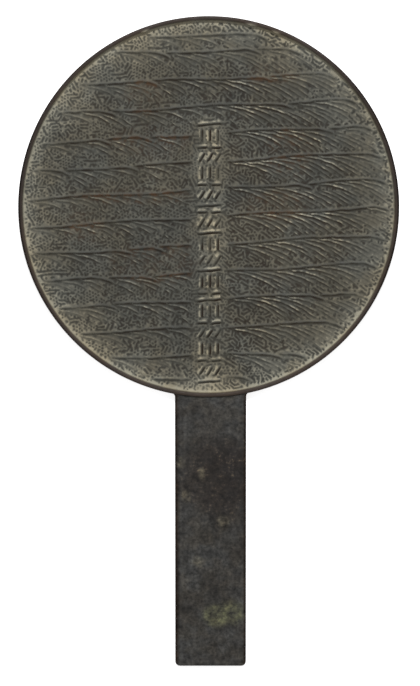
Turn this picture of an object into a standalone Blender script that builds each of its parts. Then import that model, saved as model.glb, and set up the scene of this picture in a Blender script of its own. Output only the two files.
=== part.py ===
"""A cast bronze hand mirror of the old Japanese handled kind, lying on its polished face.

The disc, its raised rim, the relief of wave rows and the handle are one casting. Lengths are in
metres, +Z is up, the handle runs along -Y, and the origin is the centre of the polished face.
"""

import math
import random

import bmesh
import bpy
import numpy as np
from mathutils import Vector

MM = 0.001

# Disc and rim
DISC_DIAMETER = 121.0 * MM
FIELD_THICKNESS = 2.0 * MM
RIM_THICKNESS = 3.6 * MM
RIM_WIDTH = 1.15 * MM
RIM_INNER_RUN = 0.55 * MM
EDGE_ROUND = 0.3 * MM
DISC_SEGMENTS = 88

# Handle
HANDLE_LENGTH = 85.3 * MM
HANDLE_WIDTH = 22.6 * MM
HANDLE_END_WIDTH = 22.4 * MM
HANDLE_THICKNESS = 3.0 * MM
HANDLE_OFFSET = 0.6 * MM
HANDLE_CORNER_RADIUS = 1.5 * MM
HANDLE_FILLET_RADIUS = 1.3 * MM
HANDLE_FILLET_SINK = 0.12 * MM
ARC_STEPS = 6

# Ridges of the relief: half-sunk diamond bars, which narrow towards both ends
RIDGE_SINK = 0.06 * MM
ROW_HALF_WIDTH = 0.34 * MM
BARB_HALF_WIDTH = 0.28 * MM
STROKE_HALF_WIDTH = 0.48 * MM
TIP_SHARE = 0.35
RIDGE_CLEARANCE = 0.16 * MM
RIDGE_SAMPLE_STEP = 0.5 * MM
RELIEF_EDGE_MARGIN = 1.2 * MM
WELD_DISTANCE = 0.005 * MM

# Wave rows
ROW_PITCH = 8.78 * MM
FIRST_ROW_HEIGHT = 5.5 * MM
ROW_EDGE_MARGIN = 4.4 * MM
ROW_TILT = math.radians(3.4)
ROW_WAVER = 0.35 * MM
ROW_WAVER_LENGTH = 43.0 * MM
ROW_POINT_GAP = 8.0 * MM
ROW_LEAST_SPACING = 0.5

# Places in x where a wave falls away and the next one starts above it, for each row from the top
ROW_BREAKS = [
    (),
    (-12.0 * MM, 17.0 * MM),
    (-16.0 * MM, 21.0 * MM),
    (-29.0 * MM, 27.0 * MM),
    (-31.0 * MM, -17.0 * MM, 40.0 * MM),
    (-44.0 * MM, -22.0 * MM),
    (33.0 * MM,),
    (),
    (-24.0 * MM, -14.0 * MM),
    (-30.0 * MM, -16.0 * MM),
    (-29.0 * MM, 37.0 * MM),
    (),
    (24.0 * MM,),
    (),
]
WAVE_LAP = 1.5 * MM
WAVE_TAIL_RUN = 6.5 * MM
WAVE_TAIL_DROP = 1.9 * MM
WAVE_TAIL_POINTS = 3
WAVE_LEAST_RUN = 7.0 * MM

# Barbs that hang from each row and sweep down to the right
BARB_CREST_GAP = 0.24 * MM
BARB_POINTS = 4
BARB_CURVE = 1.7
BARB_LEAST_RUN = 4.5 * MM
BARB_SCATTER = 0.14
LEFT_BARB_SPACING = 5.8 * MM
LEFT_BARB_RUN = 7.5 * MM
LEFT_BARB_DROP = 2.9 * MM
RIGHT_BARB_SPACING = 4.6 * MM
RIGHT_BARB_RUN = 11.5 * MM
RIGHT_BARB_DROP = 4.6 * MM

# Column of plain strokes down the middle of the field
COLUMN_CENTRE = 0.2 * MM
COLUMN_WIDTH = 8.9 * MM
COLUMN_TOP = 27.4 * MM
COLUMN_BOTTOM_MARGIN = 2.4 * MM
COLUMN_CLEARANCE = 0.8 * MM
COLUMN_GROUPS = 6
STROKE_GAP = 0.34 * MM
STROKE_TILT = math.radians(4.0)
STROKE_LEAN = math.radians(32.0)
STROKE_PLACES = (-0.66, 0.0, 0.66)
STROKE_ROWS = [("bar", 1.2), ("posts", 3.0), ("two_bars", 1.2), ("slants", 2.6)]

RELIEF_SEED = 17

DISC_RADIUS = DISC_DIAMETER / 2
FIELD_RADIUS = DISC_RADIUS - RIM_WIDTH - RIM_INNER_RUN
COLUMN_LEFT = COLUMN_CENTRE - COLUMN_WIDTH / 2
COLUMN_RIGHT = COLUMN_CENTRE + COLUMN_WIDTH / 2
COLUMN_BOTTOM = -FIELD_RADIUS + COLUMN_BOTTOM_MARGIN
RELIEF_RADIUS = FIELD_RADIUS - RELIEF_EDGE_MARGIN
BARB_OFFSET = ROW_HALF_WIDTH + BARB_HALF_WIDTH + BARB_CREST_GAP
STROKE_OFFSET = 2 * STROKE_HALF_WIDTH + STROKE_GAP


def clear_scene():
    for obj in list(bpy.data.objects):
        bpy.data.objects.remove(obj)


def new_collection(name, hidden):
    collection = bpy.data.collections.new(name)
    bpy.context.scene.collection.children.link(collection)
    collection.hide_render = hidden
    return collection


def bronze_material():
    material = bpy.data.materials.new("patinated_bronze")
    material.use_nodes = True
    shader = material.node_tree.nodes["Principled BSDF"]
    shader.inputs["Base Color"].default_value = (0.085, 0.079, 0.062, 1.0)
    shader.inputs["Roughness"].default_value = 0.55
    shader.inputs["Metallic"].default_value = 0.6
    return material


def disc_with_rim(collection):
    """The disc as a turned profile: field, rim's inner slope, rim top, outer wall and polished face."""
    profile = [
        (0.0, FIELD_THICKNESS),
        (FIELD_RADIUS, FIELD_THICKNESS),
        (DISC_RADIUS - RIM_WIDTH, RIM_THICKNESS),
        (DISC_RADIUS - EDGE_ROUND, RIM_THICKNESS),
        (DISC_RADIUS, RIM_THICKNESS - EDGE_ROUND),
        (DISC_RADIUS, EDGE_ROUND),
        (DISC_RADIUS - EDGE_ROUND, 0.0),
        (0.0, 0.0),
    ]
    mesh = bpy.data.meshes.new("bronze_mirror")
    edges = [(i, i + 1) for i in range(len(profile) - 1)]
    mesh.from_pydata([(radius, 0.0, height) for radius, height in profile], edges, [])
    disc = bpy.data.objects.new("bronze_mirror", mesh)
    collection.objects.link(disc)
    screw = disc.modifiers.new("Turn", "SCREW")
    screw.steps = screw.render_steps = DISC_SEGMENTS
    screw.use_merge_vertices = True
    screw.merge_threshold = 0.00001
    screw.use_smooth_shade = False
    return disc


def arc(centre, radius, start, end, steps):
    """Points along an arc, both ends included."""
    angles = [start + (end - start) * i / steps for i in range(steps + 1)]
    return [(centre[0] + radius * math.cos(a), centre[1] + radius * math.sin(a)) for a in angles]


def handle_side(side, inset):
    """One side of the handle's outline, from its root in the rim down to the end. side is 1 or -1."""
    fillet_x = HANDLE_OFFSET + side * (HANDLE_WIDTH / 2 + HANDLE_FILLET_RADIUS)
    reach = DISC_RADIUS - HANDLE_FILLET_SINK + HANDLE_FILLET_RADIUS
    fillet_y = -math.sqrt(reach**2 - fillet_x**2)
    towards_disc = math.atan2(-fillet_y, -fillet_x)
    towards_handle = math.pi if side > 0 else 0.0
    root_radius = DISC_RADIUS - RIM_WIDTH
    direction = math.atan2(fillet_y, fillet_x)
    points = [(root_radius * math.cos(direction), root_radius * math.sin(direction))]
    fillet = (fillet_x, fillet_y)
    points += arc(fillet, HANDLE_FILLET_RADIUS + inset, towards_disc, towards_handle, ARC_STEPS)
    corner_x = HANDLE_OFFSET + side * (HANDLE_END_WIDTH / 2 - HANDLE_CORNER_RADIUS)
    corner_y = -DISC_RADIUS - HANDLE_LENGTH + HANDLE_CORNER_RADIUS
    corner = (corner_x, corner_y)
    outward = 0.0 if side > 0 else -math.pi
    points += arc(corner, HANDLE_CORNER_RADIUS - inset, outward, -math.pi / 2, ARC_STEPS)
    return points


def handle_outline(inset):
    """The closed outline of the handle, drawn in by inset, whose root follows the disc in the rim."""
    right = handle_side(1, inset)
    left = handle_side(-1, inset)
    start = math.atan2(left[0][1], left[0][0])
    end = math.atan2(right[0][1], right[0][0])
    root = arc((0.0, 0.0), DISC_RADIUS - RIM_WIDTH, start, end, 2 * ARC_STEPS)
    return root[:-1] + right + left[:0:-1]


def handle_slab(collection):
    """The flat handle with its long edges slightly rounded, lying on the polished face's plane."""
    levels = [
        (0.0, EDGE_ROUND),
        (EDGE_ROUND, 0.0),
        (HANDLE_THICKNESS - EDGE_ROUND, 0.0),
        (HANDLE_THICKNESS, EDGE_ROUND),
    ]
    vertices = []
    for level, inset in levels:
        vertices += [(x, y, level) for x, y in handle_outline(inset)]
    count = len(vertices) // len(levels)
    faces = [tuple(reversed(range(count))), tuple(range(len(vertices) - count, len(vertices)))]
    for low in range(0, len(vertices) - count, count):
        for index in range(count):
            following = (index + 1) % count
            faces.append((low + index, low + following, low + count + following, low + count + index))
    mesh = bpy.data.meshes.new("handle_slab")
    mesh.from_pydata(vertices, [], faces)
    slab = bpy.data.objects.new("handle_slab", mesh)
    collection.objects.link(slab)
    slab.display_type = "WIRE"
    slab.hide_render = True
    return slab


def mesh_from_curve(curve_object, name, collection):
    """A curve made a closed mesh object, its caps welded, which a Boolean can use."""
    bpy.context.view_layer.update()
    graph = bpy.context.evaluated_depsgraph_get()
    mesh = bpy.data.meshes.new_from_object(curve_object.evaluated_get(graph))
    shape = bmesh.new()
    shape.from_mesh(mesh)
    bmesh.ops.remove_doubles(shape, verts=shape.verts, dist=WELD_DISTANCE)
    shape.to_mesh(mesh)
    shape.free()
    solid = bpy.data.objects.new(name, mesh)
    solid.matrix_world = curve_object.matrix_world
    collection.objects.link(solid)
    bpy.data.objects.remove(curve_object)
    solid.display_type = "WIRE"
    solid.hide_render = True
    return solid


def add_spline(curve, points, radii):
    spline = curve.splines.new("POLY")
    spline.points.add(len(points) - 1)
    for point, (x, y), radius in zip(spline.points, points, radii):
        point.co = (x, y, 0.0, 1.0)
        point.radius = radius


def row_heights():
    """Heights of the wave rows above the disc's centre, the outermost ones drawn in from the rim."""
    reach = FIELD_RADIUS - ROW_EDGE_MARGIN
    spare = 1 - ROW_LEAST_SPACING
    above = math.floor((reach - FIRST_ROW_HEIGHT) / ROW_PITCH + spare)
    below = math.floor((reach + FIRST_ROW_HEIGHT) / ROW_PITCH + spare)
    heights = [FIRST_ROW_HEIGHT + step * ROW_PITCH for step in range(above, -below - 1, -1)]
    return [max(-reach, min(reach, height)) for height in heights]


def row_line(height, x):
    """The height of a row's crest at x: it climbs to the right and wavers a little."""
    tilt = ROW_TILT * (1 - abs(height / FIELD_RADIUS) ** 3)
    turn = math.tau * (x / ROW_WAVER_LENGTH + height / ROW_PITCH / 3)
    return height + math.tan(tilt) * x + ROW_WAVER * math.sin(turn)


def row_spans(height):
    """The stretches of a row in x, which leave the column of strokes free."""
    half = math.sqrt(RELIEF_RADIUS**2 - height**2)
    if height > COLUMN_TOP + STROKE_OFFSET:
        return [(-half, half)]
    gap = COLUMN_CLEARANCE + ROW_HALF_WIDTH
    return [(-half, COLUMN_LEFT - gap), (COLUMN_RIGHT + gap, half)]


def inside_field(points):
    return all(math.hypot(x, y) < RELIEF_RADIUS for x, y in points)


def clear_of_column(points):
    left = COLUMN_LEFT - COLUMN_CLEARANCE
    right = COLUMN_RIGHT + COLUMN_CLEARANCE
    top = COLUMN_TOP + COLUMN_CLEARANCE
    return not any(left < x < right and y < top for x, y in points)


def sampled(points):
    """Closely spaced places along a line, for the distance between ridges."""
    found = []
    for (x0, y0), (x1, y1) in zip(points, points[1:]):
        count = max(1, math.ceil(math.hypot(x1 - x0, y1 - y0) / RIDGE_SAMPLE_STEP))
        for step in range(count + 1):
            found.append((x0 + (x1 - x0) * step / count, y0 + (y1 - y0) * step / count))
    return np.array(found)


def keeps_clear(points, half_width, placed):
    """Whether a ridge stays clear of the ridges placed before it, given as points and half widths."""
    line = sampled(points)
    for other, other_half_width in placed:
        apart = np.linalg.norm(line[:, None] - other[None], axis=2).min()
        if apart < half_width + other_half_width + RIDGE_CLEARANCE:
            return False
    return True


def wave_places(start, end):
    """Places in x along a wave, closer together where its tail falls."""
    tail = end - min(WAVE_TAIL_RUN, (end - start) / 2)
    count = math.ceil((tail - start) / ROW_POINT_GAP)
    body = [start + (tail - start) * step / count for step in range(count)]
    return body + [tail + (end - tail) * step / WAVE_TAIL_POINTS for step in range(WAVE_TAIL_POINTS + 1)]


def wave_points(height, start, end, drop):
    """One wave of a row from start to end, whose last stretch falls by drop."""
    while not inside_field([(end, row_line(height, end) - drop)]):
        end -= RELIEF_EDGE_MARGIN / 4
    while not inside_field([(start, row_line(height, start))]):
        start += RELIEF_EDGE_MARGIN / 4
    points = []
    for x in wave_places(start, end):
        fall = max(0.0, 1 - (end - x) / WAVE_TAIL_RUN)
        points.append((x, row_line(height, x) - drop * fall**2))
    return [point for point in points if inside_field([point])]


def waves(height, breaks):
    """A row's crest as waves, each of which starts a little before the last one ends."""
    found = []
    for start, end in row_spans(height):
        cuts = [x for x in breaks if start + WAVE_LEAST_RUN < x < end - WAVE_LEAST_RUN]
        starts = [start] + [x - WAVE_LAP for x in cuts]
        for wave_start, wave_end in zip(starts, cuts + [end]):
            at_column = wave_end < COLUMN_LEFT and wave_end == end
            found.append(wave_points(height, wave_start, wave_end, 0.0 if at_column else WAVE_TAIL_DROP))
    return found


def barb_points(height, start, run, drop):
    """One barb: it leaves the crest almost along it and sweeps down to the right."""
    points = []
    for index in range(BARB_POINTS):
        share = index / (BARB_POINTS - 1)
        x = start + run * share
        points.append((x, row_line(height, x) - BARB_OFFSET - drop * share**BARB_CURVE))
    return points


def barbs(height, draw):
    """The barbs that a row could carry, longer and closer on the right half of the field."""
    found = []
    for start, end in row_spans(height):
        x = start + LEFT_BARB_SPACING / 2
        while x < end - BARB_LEAST_RUN:
            right_half = x > COLUMN_CENTRE
            spacing = RIGHT_BARB_SPACING if right_half else LEFT_BARB_SPACING
            run = RIGHT_BARB_RUN if right_half else LEFT_BARB_RUN
            drop = RIGHT_BARB_DROP if right_half else LEFT_BARB_DROP
            size = 1 + draw.uniform(-BARB_SCATTER, BARB_SCATTER)
            length = min(run * size, end - x)
            found.append(barb_points(height, x, length, drop * length / run))
            x += spacing * (1 + draw.uniform(-BARB_SCATTER, BARB_SCATTER))
    return found


def tilted(x, y, half_length, angle):
    """A straight stroke through a point."""
    along = Vector((math.cos(angle), math.sin(angle))) * half_length
    middle = Vector((x, y))
    return [tuple(middle - along), tuple(middle + along)]


def stroke_row(kind, middle, height):
    """One row of strokes: a long bar, two short bars, upright posts or slanting strokes."""
    half = (COLUMN_WIDTH - STROKE_OFFSET) / 2
    upright = (height - STROKE_OFFSET) / 2
    if kind == "bar":
        return [tilted(COLUMN_CENTRE, middle, half, STROKE_TILT)]
    if kind == "two_bars":
        side = (half + STROKE_OFFSET / 2) / 2
        places = [COLUMN_CENTRE - side, COLUMN_CENTRE + side]
        return [tilted(x, middle, side - STROKE_OFFSET / 2, STROKE_TILT) for x in places]
    places = [COLUMN_CENTRE + half * share for share in STROKE_PLACES]
    lean = STROKE_LEAN if kind == "slants" else 0.0
    return [tilted(x, middle, upright, math.pi / 2 - lean) for x in places]


def column_strokes():
    """Groups of plain strokes that stand in a column, none touching another and none a letter."""
    group_height = (COLUMN_TOP - COLUMN_BOTTOM) / COLUMN_GROUPS
    unit = group_height / sum(share for kind, share in STROKE_ROWS)
    top = COLUMN_TOP
    found = []
    for group in range(COLUMN_GROUPS):
        turn = group % len(STROKE_ROWS)
        for kind, share in STROKE_ROWS[turn:] + STROKE_ROWS[:turn]:
            found += stroke_row(kind, top - share * unit / 2, share * unit)
            top -= share * unit
    return [points for points in found if inside_field(points)]


def tapered(points, half_width):
    """Ridge radii, narrower at both ends."""
    last = len(points) - 1
    return [half_width * (TIP_SHARE if i in (0, last) else 1.0) for i in range(last + 1)]


def relief_lines():
    """Every ridge as its points and radii: strokes and waves first, then the barbs that fit between."""
    lines = [(points, [STROKE_HALF_WIDTH] * len(points)) for points in column_strokes()]
    heights = row_heights()
    for index, height in enumerate(heights):
        for points in waves(height, ROW_BREAKS[index % len(ROW_BREAKS)]):
            lines.append((points, tapered(points, ROW_HALF_WIDTH)))
    placed = [(sampled(points), max(radii)) for points, radii in lines]
    for index, height in enumerate(heights):
        for points in barbs(height, random.Random(RELIEF_SEED + index)):
            fits = inside_field(points) and clear_of_column(points)
            if fits and keeps_clear(points, BARB_HALF_WIDTH, placed):
                lines.append((points, tapered(points, BARB_HALF_WIDTH)))
                placed.append((sampled(points), BARB_HALF_WIDTH))
    return lines


def relief(collection):
    """Rows, barbs and strokes as half-sunk ridges, made one mesh for a single union."""
    curve = bpy.data.curves.new("relief_lines", "CURVE")
    curve.dimensions = "3D"
    curve.bevel_depth = 1.0
    curve.bevel_resolution = 0
    curve.use_fill_caps = True
    for points, radii in relief_lines():
        add_spline(curve, points, radii)
    lines = bpy.data.objects.new("relief_lines", curve)
    lines.location.z = FIELD_THICKNESS - RIDGE_SINK
    collection.objects.link(lines)
    return mesh_from_curve(lines, "relief_ridges", collection)


def join(obj, other, name):
    union = obj.modifiers.new(name, "BOOLEAN")
    union.operation = "UNION"
    union.solver = "EXACT"
    union.object = other


def main():
    clear_scene()
    parts = new_collection("Bronze mirror", hidden=False)
    helpers = new_collection("Helpers", hidden=True)
    mirror = disc_with_rim(parts)
    join(mirror, handle_slab(helpers), "Handle")
    join(mirror, relief(helpers), "Relief")
    mirror.data.materials.append(bronze_material())


main()
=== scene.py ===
"""The looks of the handled bronze mirror: its fine relief and patina, the floor, light and camera.

Lengths are in metres. The disc's centre is the origin, +Z is up, and the handle runs along -Y.
"""

import math
import random

import bmesh
import bpy
import numpy as np
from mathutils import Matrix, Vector, geometry, noise


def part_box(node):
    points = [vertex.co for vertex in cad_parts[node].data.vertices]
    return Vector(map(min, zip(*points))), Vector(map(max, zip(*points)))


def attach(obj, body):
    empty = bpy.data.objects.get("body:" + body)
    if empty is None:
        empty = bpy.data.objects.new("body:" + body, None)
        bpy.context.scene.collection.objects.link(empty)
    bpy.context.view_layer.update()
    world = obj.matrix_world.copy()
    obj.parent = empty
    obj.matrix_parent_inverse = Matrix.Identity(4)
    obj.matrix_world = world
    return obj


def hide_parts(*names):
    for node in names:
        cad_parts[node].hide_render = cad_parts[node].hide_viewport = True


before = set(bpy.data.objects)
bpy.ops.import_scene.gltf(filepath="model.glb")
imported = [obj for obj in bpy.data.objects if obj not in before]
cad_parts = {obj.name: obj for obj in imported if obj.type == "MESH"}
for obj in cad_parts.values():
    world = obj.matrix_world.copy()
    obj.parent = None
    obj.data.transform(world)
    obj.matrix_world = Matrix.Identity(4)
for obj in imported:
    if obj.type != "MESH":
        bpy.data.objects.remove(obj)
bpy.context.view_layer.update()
NODE = "bronze_mirror"
NODE_LOW, NODE_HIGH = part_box(NODE)

MM = 0.001


def millimetres(rows):
    """Rows of lengths given in mm, turned into metres."""
    return [tuple(length * MM for length in row) for row in rows]


# Disc and rim, whose outer sizes come from the frame
DISC_RADIUS = NODE_HIGH.y
RIM_THICKNESS = NODE_HIGH.z
FIELD_THICKNESS = 2.0 * MM
RIM_WIDTH = 1.15 * MM
RIM_INNER_RUN = 0.55 * MM
RIM_SLOPE_SHARES = (0.0, 0.3, 0.65)
FIELD_RADIUS = DISC_RADIUS - RIM_WIDTH - RIM_INNER_RUN
RING_POINTS = 720
RING_ANGLES = np.arange(RING_POINTS) * math.tau / RING_POINTS

# Rim section from the inner slope's top to the outer wall, as run in from the wall and drop from the top
RIM_SECTION = millimetres([
    (1.15, 0.12),
    (1.0, 0.02),
    (0.7, 0.0),
    (0.4, 0.03),
    (0.2, 0.11),
    (0.07, 0.25),
    (0.0, 0.48),
])
FACE_EDGE_SECTION = millimetres([(0.0, 0.45), (0.05, 0.2), (0.16, 0.07), (0.36, 0.0)])
RIM_UNEVEN_RUN = 1.0 * MM
RIM_WOBBLE = 0.07 * MM
RIM_WOBBLE_LENGTH = 5.0 * MM

# Lumps of casting metal on the rim's inner edge: direction in degrees, reach inwards and half length
RIM_LUMPS = [(110.0, 0.42 * MM, 1.3 * MM), (77.0, 0.38 * MM, 1.7 * MM), (69.0, 0.42 * MM, 1.4 * MM)]

# Handle
HANDLE_END = NODE_LOW.y
HANDLE_WIDTH = 22.6 * MM
HANDLE_END_WIDTH = 22.4 * MM
HANDLE_THICKNESS = 3.0 * MM
HANDLE_OFFSET = 0.6 * MM
HANDLE_CORNER_RADIUS = 1.5 * MM
HANDLE_FILLET_RADIUS = 1.3 * MM
HANDLE_FILLET_SINK = 0.12 * MM
HANDLE_ROUND = 0.28 * MM
HANDLE_RISE = 0.03 * MM
HANDLE_SPACING = 0.9 * MM
HANDLE_POINT_GAP = 0.63 * MM
HANDLE_LEVEL_RUN = 3.0 * MM
HANDLE_SWELL = 0.05 * MM
HANDLE_SWELL_LENGTH = 14.0 * MM
ARC_STEPS = 10
ROUND_STEPS = 4

# Ridges of the relief
ROW_HALF_WIDTH = 0.34 * MM
BARB_HALF_WIDTH = 0.28 * MM
STROKE_HALF_WIDTH = 0.48 * MM
RIDGE_CLEARANCE = 0.16 * MM
RIDGE_SAMPLE_STEP = 0.5 * MM
RELIEF_EDGE_MARGIN = 1.2 * MM
RELIEF_RADIUS = FIELD_RADIUS - RELIEF_EDGE_MARGIN

# Wave rows
ROW_PITCH = 8.78 * MM
FIRST_ROW_HEIGHT = 5.5 * MM
ROW_EDGE_MARGIN = 4.4 * MM
ROW_TILT = math.radians(3.4)
ROW_WAVER = 0.35 * MM
ROW_WAVER_LENGTH = 43.0 * MM
ROW_POINT_GAP = 8.0 * MM
ROW_LEAST_SPACING = 0.5

# Places in x where a wave falls away and the next one starts above it, for each row from the top
ROW_BREAKS = millimetres([
    (),
    (-12.0, 17.0),
    (-16.0, 21.0),
    (-29.0, 27.0),
    (-31.0, -17.0, 40.0),
    (-44.0, -22.0),
    (33.0,),
    (),
    (-24.0, -14.0),
    (-30.0, -16.0),
    (-29.0, 37.0),
    (),
    (24.0,),
    (),
])
WAVE_LAP = 1.5 * MM
WAVE_TAIL_RUN = 6.5 * MM
WAVE_TAIL_DROP = 1.9 * MM
WAVE_TAIL_POINTS = 3
WAVE_LEAST_RUN = 7.0 * MM

# Barbs that hang from each row and sweep down to the right
BARB_CREST_GAP = 0.24 * MM
BARB_OFFSET = ROW_HALF_WIDTH + BARB_HALF_WIDTH + BARB_CREST_GAP
BARB_POINTS = 4
BARB_CURVE = 1.7
BARB_LEAST_RUN = 4.5 * MM
BARB_SCATTER = 0.14
LEFT_BARB_SPACING = 5.8 * MM
LEFT_BARB_RUN = 7.5 * MM
LEFT_BARB_DROP = 2.9 * MM
RIGHT_BARB_SPACING = 4.6 * MM
RIGHT_BARB_RUN = 11.5 * MM
RIGHT_BARB_DROP = 4.6 * MM
BARB_LEAD = 1.6 * MM
FINE_BARB_CLEARANCE = 0.92 * MM
FINE_BARB_LEAST_RUN = 1.6 * MM
FINE_BARB_REACH = 1.42
FINE_BARB_SIZES = (0.85, 1.0)
FINE_BARB_STEPS = (0.5, 0.25, 0.75)
LEFT_FINE_SHARE = 0.35

# Column of plain strokes down the middle of the field
COLUMN_CENTRE = 0.2 * MM
COLUMN_WIDTH = 8.9 * MM
COLUMN_TOP = 27.4 * MM
COLUMN_BOTTOM_MARGIN = 2.4 * MM
COLUMN_CLEARANCE = 0.8 * MM
COLUMN_GROUPS = 6
COLUMN_LEFT = COLUMN_CENTRE - COLUMN_WIDTH / 2
COLUMN_RIGHT = COLUMN_CENTRE + COLUMN_WIDTH / 2
COLUMN_BOTTOM = -FIELD_RADIUS + COLUMN_BOTTOM_MARGIN
STROKE_GAP = 0.34 * MM
STROKE_OFFSET = 2 * STROKE_HALF_WIDTH + STROKE_GAP
STROKE_TILT = math.radians(4.0)
STROKE_LEAN = math.radians(32.0)
STROKE_PLACES = (-0.66, 0.0, 0.66)
STROKE_ROWS = [("bar", 1.2), ("posts", 3.0), ("two_bars", 1.2), ("slants", 2.6)]

RELIEF_SEED = 17

# Cross-sections of the ridges, as offset in mm, share of the height and tone from dark (-1) to pale (1).
# The tone is partly the real patina, dark in the hollows with pale deposit at the feet, and partly painted
# light:
# a painted highlight on the upper side (positive offsets, the left of an upright stroke) and painted shade
# on the lower side.
ROW_SECTION = [
    (0.16, 1.0, -0.2),
    (-0.1, 1.0, -0.66),
    (0.5, 0.0, 0.25),
    (-0.36, 0.0, -0.78),
    (-0.6, 0.0, -0.5),
]
BARB_SECTION = [
    (0.0, 1.0, 0.85),
    (0.25, 0.4, 0.7),
    (0.48, 0.0, 0.1),
    (-0.25, 0.1, -1.0),
    (-0.48, 0.0, -0.7),
]
FINE_SECTION = [(0.06, 1.0, 0.7), (0.36, 0.0, 0.1), (-0.28, 0.0, -0.85), (-0.5, 0.0, -0.4)]
STROKE_SECTION = [
    (0.24, 1.0, 0.1),
    (-0.2, 1.0, -0.9),
    (0.54, 0.0, 1.0),
    (-0.5, 0.0, -1.0),
    (-0.74, 0.0, 0.4),
]
ROW_RELIEF = 0.24 * MM
BARB_RELIEF = 0.24 * MM
FINE_RELIEF = 0.14 * MM
STROKE_RELIEF = 0.42 * MM

# Unevenness along a ridge: patches and beads of tone, a sideways waver, and fading towards the rim
RIDGE_PATCH_LENGTH = 3.5 * MM
RIDGE_PATCH_MEAN = 0.75
RIDGE_PATCH_SHARE = 1.2
PALE_LEAST = 0.15
DARK_LEAST = 0.4
RIDGE_WAVER = 0.22 * MM
RIDGE_WAVER_LENGTH = 2.4 * MM
BEAD_SHARE = 1.7
BEAD_LENGTH = 1.0 * MM
BEAD_LEAST, BEAD_MOST = 0.1, 1.3
FADE_START = 38.0 * MM
FADE_END = 54.0 * MM
ROW_FADE = 0.15
BARB_FADE = 0.55
LEFT_BARB_STRENGTH = (0.35, 0.85)
RIGHT_BARB_STRENGTH = (0.6, 1.1)
RIDGE_STEP = 0.46 * MM
RIDGE_TAPER = 2.2 * MM
ROW_TAPER = 1.2 * MM
STROKE_TAPER = 0.5 * MM
TIP_SHARE = 0.35

# Granulated ground on a hexagonal lattice: a net with pits, and patches of short parallel ridges
GROUND_SPACING = 0.6 * MM
GROUND_JITTER = 0.12 * MM
GRAIN_RELIEF = 0.1 * MM
GRAIN_PALE = 0.4
GRAIN_DARK = -0.78
COLUMN_GRAIN = 0.6
GROUND_WARP = 0.9 * MM
GROUND_WARP_LENGTH = 7.0 * MM
GRAIN_SCATTER = 0.5
GROUND_TURN = math.radians(4.0)
HATCH_TURN = math.radians(-34.0)
GROUND_PATCH_LENGTH = 3.0 * MM
PITTED_PATCH_LEVEL = 0.27
HATCHED_PATCH_LEVEL = 0.2
HATCH_LEVEL = 0.06
HATCHED_STRENGTH = 1.15
GROUND_SWELL = 0.05 * MM
GROUND_SWELL_LENGTH = 17.0 * MM
GROUND_LEVEL_RUN = 2.0 * MM
RIDGE_POINT_GAP = 0.19 * MM
GROUND_POINT_GAP = 0.36 * MM

# Wear: the relief is softer towards the rim
WEAR_START = 47.0 * MM
WEAR_END = 58.0 * MM
WORN_SHARE = 0.5
WORN_TONE = 0.35

# Parts of the casting by material slot, the cap only while it is put together
PATINA, HANDLE, POLISHED, CAP = range(4)
WELD_DISTANCE = 0.001 * MM
SHARP_ANGLE = math.radians(38.0)

# Camera, light and floor
IMAGE_WIDTH, IMAGE_HEIGHT = 420, 686
PIXEL = 0.3173 * MM
CAMERA_LENS = 200.0
CAMERA_SENSOR = 36.0
DISC_CENTRE_IN_IMAGE = (208.7, 206.5)
KEY_PLACE = (0.08, 1.45, 2.1)
KEY_SIZE = 0.55
KEY_POWER = 52.0
FILL_STRENGTH = 0.4
FLOOR_HALF = 5.0
FLOOR_DROP = 0.2 * MM
FLOOR_WHITE = (0.9, 0.9, 0.9, 1.0)
WHITE = (1.0, 1.0, 1.0, 1.0)
FLOOR_GLOW = 0.75


def tone(red, green, blue):
    """A colour given as it looks on screen, from 0 to 255, made linear for a shader."""
    linear = []
    for value in (red, green, blue):
        value /= 255
        linear.append(value / 12.92 if value <= 0.04045 else ((value + 0.055) / 1.055) ** 2.4)
    return (*linear, 1.0)


# Colours of the patina from the dark hollows and painted shade, at tone -1, to pale dirt and painted
# highlights, at tone 1
PATINA_STOPS = [
    (0.0, tone(39, 30, 22)),
    (0.25, tone(49, 45, 38)),
    (0.5, tone(66, 65, 58)),
    (0.75, tone(98, 95, 84)),
    (1.0, tone(152, 146, 127)),
]
RIM_COLOUR = tone(60, 51, 45)
# Painted shade on the rim's left and right edge
RIM_SIDE_SHADE_COLOUR = tone(36, 31, 28)
RUST_COLOUR = tone(73, 54, 37)
COOL_TINT = (0.965, 1.0, 1.05, 1.0)
WARM_TINT = (1.035, 1.0, 0.945, 1.0)
HANDLE_BROWN = tone(44, 41, 37)
HANDLE_GREY = tone(56, 55, 53)
HANDLE_DARK = tone(33, 28, 25)
# Painted shade along the handle's edges
HANDLE_EDGE_SHADE_COLOUR = tone(31, 23, 18)
HANDLE_COOL_TINT = (0.97, 1.0, 1.025, 1.0)
HANDLE_WARM_TINT = (1.045, 1.0, 0.92, 1.0)
VERDIGRIS_COLOUR = tone(82, 81, 57)
SPOT_COLOUR = tone(92, 87, 74)
FLECK_COLOUR = tone(88, 76, 58)

# The span that noise mostly keeps to
NOISE_SPAN = (0.3, 0.7)

POLISHED_STOPS = [(0.32, tone(116, 105, 82)), (0.5, tone(146, 137, 114)), (0.68, tone(164, 156, 135))]

# Pale dirt round the column of strokes, thinner towards its foot
COLUMN_DIRT = 0.36
COLUMN_DIRT_AT_FOOT = 0.55
COLUMN_DIRT_RISE = (-34.0 * MM, -14.0 * MM)
COLUMN_DIRT_SIDE = (4.4 * MM, 7.0 * MM)
COLUMN_DIRT_TOP = (COLUMN_TOP - 1.0 * MM, COLUMN_TOP + 3.0 * MM)
DIRT_PATCH_LENGTH = 5.0 * MM
DIRT_PATCH_MEAN = 0.75
DIRT_PATCH_SHARE = 0.5

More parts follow.
